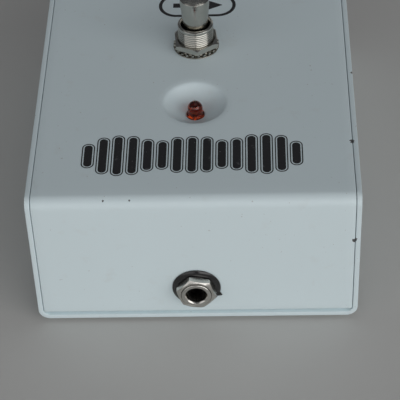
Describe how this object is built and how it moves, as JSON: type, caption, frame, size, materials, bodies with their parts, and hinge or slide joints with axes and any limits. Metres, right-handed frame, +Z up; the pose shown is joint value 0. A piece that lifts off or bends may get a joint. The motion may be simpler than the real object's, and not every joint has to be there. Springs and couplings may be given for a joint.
{
  "type": "footswitch pedal",
  "caption": "Low folded-steel floor pedal with a sprung latching foot button, an indicator lamp in a pressed dish and a rear jack socket.",
  "frame": {"origin": "under the centre of the whole object's box, on the plane the rubber pads stand on", "axes": "+Z up through the button; -Y out of the jack socket's panel, towards the cable; +X to the right seen from that side"},
  "size_m": [0.104, 0.144, 0.074],
  "materials": {
    "white_paint": "satin powder coat, cool white",
    "zinc_steel": "bright zinc plate",
    "nickel": "nickel plate, bright to satin",
    "spring_steel": "drawn spring wire",
    "brass": "stamped strip",
    "black_plastic": "moulded",
    "white_plastic": "moulded acetal",
    "brown_laminate": "phenolic laminate",
    "green_laminate": "solder-masked glass laminate",
    "resistor_coat": "lacquered",
    "amber_lens": "clear tinted resin",
    "pad_rubber": "matt",
    "red_insulation": "extruded",
    "yellow_insulation": "extruded",
    "black_insulation": "extruded"
  },
  "bodies": {
    "housing": {"top_cover": "white_paint", "base_tray": "white_paint", "cover_screw_1": "zinc_steel", "cover_screw_2": "zinc_steel", "cover_screw_3": "zinc_steel", "cover_screw_4": "zinc_steel", "clinch_nut_1": "zinc_steel", "clinch_nut_2": "zinc_steel", "clinch_nut_3": "zinc_steel", "clinch_nut_4": "zinc_steel", "switch_case": "zinc_steel", "rocker_axle": "zinc_steel", "lamp_lead_plus": "zinc_steel", "lamp_lead_minus": "zinc_steel", "switch_bush": "nickel", "switch_nut": "nickel", "switch_lower_nut": "nickel", "switch_flat_washer": "nickel", "switch_lock_washer": "nickel", "socket_nut": "nickel", "socket_bush": "nickel", "button_spring": "spring_steel", "switch_lug_1": "brass", "switch_lug_2": "brass", "switch_lug_3": "brass", "switch_lug_4": "brass", "switch_lug_5": "brass", "switch_lug_6": "brass", "socket_tip_leaf": "brass", "socket_sleeve_tag": "brass", "socket_washer": "black_plastic", "socket_body": "black_plastic", "lamp_spacer": "black_plastic", "switch_terminal_block": "brown_laminate", "lamp_board": "green_laminate", "lamp_resistor": "resistor_coat", "lamp": "amber_lens", "foot_pad_1": "pad_rubber", "foot_pad_2": "pad_rubber", "foot_pad_3": "pad_rubber", "foot_pad_4": "pad_rubber", "wire_tip": "red_insulation", "wire_lamp": "yellow_insulation", "wire_sleeve": "black_insulation"},
    "button": {"button": "nickel"},
    "rocker": {"rocker": "white_plastic", "rocker_bridge": "brass"}
  },
  "joints": [
    {"name": "button_press", "type": "slide", "parent": "housing", "child": "button", "axis": [0, 0, -1], "range_m": [0, 0.003], "stiffness_N_per_m": 5000, "springref_m": -0.001, "deforming": ["button_spring"]},
    {"name": "rocker_turn", "type": "hinge", "parent": "housing", "child": "rocker", "pos_m": [0, 0.01395, 0.041], "axis": [1, 0, 0], "range_deg": [0, 33.5]}
  ],
  "couplings": [
    {"joint": "rocker_turn", "follows": "button_press", "rad_per_m": 194.31}
  ]
}
